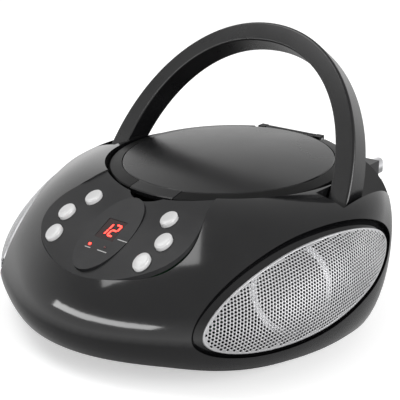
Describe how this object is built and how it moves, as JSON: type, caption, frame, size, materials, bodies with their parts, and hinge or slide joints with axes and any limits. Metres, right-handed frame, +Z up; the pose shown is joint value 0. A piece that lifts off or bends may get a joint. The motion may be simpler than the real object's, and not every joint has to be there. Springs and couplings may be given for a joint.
{
  "type": "boombox",
  "caption": "Round portable CD radio with a domed lid, arched carrying handle, front control panel and a speaker pod with a metal grille on each side.",
  "frame": {"origin": "middle of the footprint on the floor", "axes": "+X to the listener's right, -Y the front with the control panel, +Z up"},
  "size_m": [0.225, 0.2295, 0.1544],
  "materials": {
    "black_gloss": "moulded high-gloss black",
    "black_satin": "moulded satin black",
    "panel_grey": "satin dark grey",
    "silver_button": "silver-white lacquered plastic",
    "grille_silver": "silver painted perforated steel",
    "display_red": "dark red tinted lens",
    "steel": "bright steel",
    "chrome": "chromed tube",
    "board": "green circuit board",
    "rubber": "soft black rubber",
    "copper": "plated contact metal",
    "cone_paper": "pressed paper cone",
    "magnet": "ferrite magnet",
    "grey_plastic": "moulded grey plastic"
  },
  "bodies": {
    "cabinet": {"upper_shell": "black_gloss", "lower_case": "black_gloss", "control_panel": "panel_grey", "display_window": "panel_grey", "display_lens": "display_red", "display_module": "black_satin", "panel_board": "board", "lid_ring": "black_gloss", "lid_hinge_pin": "steel", "cd_well": "black_satin", "lid_catch": "black_satin", "spindle_motor": "steel", "drive_chassis": "black_satin", "sled_rails": "steel", "sled_motor": "steel", "handle_pivots": "steel", "feet": "rubber", "case_screws": "steel", "battery_box": "black_satin", "battery_contacts": "copper", "ac_inlet": "black_satin", "aux_jack": "black_satin", "switch_block": "grey_plastic", "tuning_capacitor": "grey_plastic", "volume_control": "grey_plastic", "antenna_bracket": "black_satin", "antenna_clip": "black_satin", "main_board": "board", "transformer": "steel", "speaker_grille_left": "grille_silver", "speaker_bezel_left": "black_gloss", "speaker_frame_left": "steel", "speaker_cone_left": "cone_paper", "speaker_magnet_left": "magnet", "speaker_grille_right": "grille_silver", "speaker_bezel_right": "black_gloss", "speaker_frame_right": "steel", "speaker_cone_right": "cone_paper", "speaker_magnet_right": "magnet"},
    "handle": {"handle": "black_satin"},
    "lid": {"cd_lid": "black_gloss"},
    "tuning": {"tuning_knob": "black_satin"},
    "volume": {"volume_knob": "black_satin"},
    "band": {"band_switch": "black_satin"},
    "function": {"function_switch": "black_satin"},
    "aerial_knuckle": {"antenna_knuckle": "chrome"},
    "aerial_mast": {"antenna_outer": "chrome"},
    "aerial_middle": {"antenna_middle": "chrome"},
    "aerial_inner": {"antenna_inner": "chrome"},
    "battery_cover": {"battery_door": "black_satin"},
    "platter": {"turntable": "grey_plastic"},
    "sled": {"laser_sled": "grey_plastic"},
    "sled_screw": {"feed_screw": "steel"},
    "button_play_body": {"button_play": "silver_button"},
    "button_skip_forward_body": {"button_skip_forward": "silver_button"},
    "button_repeat_body": {"button_repeat": "silver_button"},
    "button_stop_body": {"button_stop": "silver_button"},
    "button_skip_back_body": {"button_skip_back": "silver_button"},
    "button_program_body": {"button_program": "silver_button"}
  },
  "joints": [
    {"name": "handle_swing", "type": "hinge", "parent": "cabinet", "child": "handle", "pos_m": [0, 0.0152, 0.0581], "axis": [-1, 0, 0], "range_deg": [-31, 39]},
    {"name": "lid_hinge", "type": "hinge", "parent": "cabinet", "child": "lid", "pos_m": [0, 0.0924, 0.07998], "axis": [-1, 0, 0], "range_deg": [0, 27]},
    {"name": "button_play_press", "type": "slide", "parent": "cabinet", "child": "button_play_body", "axis": [0, 0.3968, -0.9179], "range_m": [0, 0.0012], "stiffness_N_per_m": 400, "springref_m": -0.0005},
    {"name": "button_skip_forward_press", "type": "slide", "parent": "cabinet", "child": "button_skip_forward_body", "axis": [0, 0.4738, -0.8806], "range_m": [0, 0.0012], "stiffness_N_per_m": 400, "springref_m": -0.0005},
    {"name": "button_repeat_press", "type": "slide", "parent": "cabinet", "child": "button_repeat_body", "axis": [0, 0.5399, -0.8417], "range_m": [0, 0.0012], "stiffness_N_per_m": 400, "springref_m": -0.0005},
    {"name": "button_stop_press", "type": "slide", "parent": "cabinet", "child": "button_stop_body", "axis": [0, 0.3968, -0.9179], "range_m": [0, 0.0012], "stiffness_N_per_m": 400, "springref_m": -0.0005},
    {"name": "button_skip_back_press", "type": "slide", "parent": "cabinet", "child": "button_skip_back_body", "axis": [0, 0.4738, -0.8806], "range_m": [0, 0.0012], "stiffness_N_per_m": 400, "springref_m": -0.0005},
    {"name": "button_program_press", "type": "slide", "parent": "cabinet", "child": "button_program_body", "axis": [0, 0.5399, -0.8417], "range_m": [0, 0.0012], "stiffness_N_per_m": 400, "springref_m": -0.0005},
    {"name": "tuning_turn", "type": "hinge", "parent": "cabinet", "child": "tuning", "pos_m": [0.076, 0.062, 0.053], "axis": [0, 0, 1], "range_deg": [-135, 135]},
    {"name": "volume_turn", "type": "hinge", "parent": "cabinet", "child": "volume", "pos_m": [-0.076, 0.062, 0.053], "axis": [0, 0, 1], "range_deg": [-135, 135]},
    {"name": "band_slide", "type": "slide", "parent": "cabinet", "child": "band", "axis": [1, 0, 0], "range_m": [0, 0.006]},
    {"name": "function_slide", "type": "slide", "parent": "cabinet", "child": "function", "axis": [1, 0, 0], "range_m": [-0.005, 0.005]},
    {"name": "aerial_swing", "type": "hinge", "parent": "cabinet", "child": "aerial_knuckle", "pos_m": [0.052, 0.1096, 0.064], "axis": [0, 1, 0], "range_deg": [0, 150]},
    {"name": "aerial_tilt", "type": "hinge", "parent": "aerial_knuckle", "child": "aerial_mast", "pos_m": [0.052, 0.1096, 0.064], "axis": [0, 0, -1], "range_deg": [0, 90]},
    {"name": "aerial_middle_slide", "type": "slide", "parent": "aerial_mast", "child": "aerial_middle", "axis": [-1, 0, 0], "range_m": [0, 0.076]},
    {"name": "aerial_inner_slide", "type": "slide", "parent": "aerial_middle", "child": "aerial_inner", "axis": [-1, 0, 0], "range_m": [0, 0.076]},
    {"name": "battery_door_hinge", "type": "hinge", "parent": "cabinet", "child": "battery_cover", "pos_m": [0, -0.024, 0.0046], "axis": [-1, 0, 0], "range_deg": [0, 100]},
    {"name": "platter_spin", "type": "hinge", "parent": "cabinet", "child": "platter", "pos_m": [0, 0.02692, 0.06661], "axis": [0, -0.0436, 0.999], "continuous": true},
    {"name": "sled_slide", "type": "slide", "parent": "cabinet", "child": "sled", "axis": [0, 0.999, 0.0436], "range_m": [0, 0.025]},
    {"name": "feed_screw_spin", "type": "hinge", "parent": "cabinet", "child": "sled_screw", "pos_m": [0.015, 0.06726, 0.05986], "axis": [0, 0.999, 0.0436], "range_deg": [0, 3000]}
  ],
  "couplings": [
    {"joint": "aerial_inner_slide", "follows": "aerial_middle_slide", "ratio": 1},
    {"joint": "feed_screw_spin", "follows": "sled_slide", "rad_per_m": 2094.4}
  ]
}
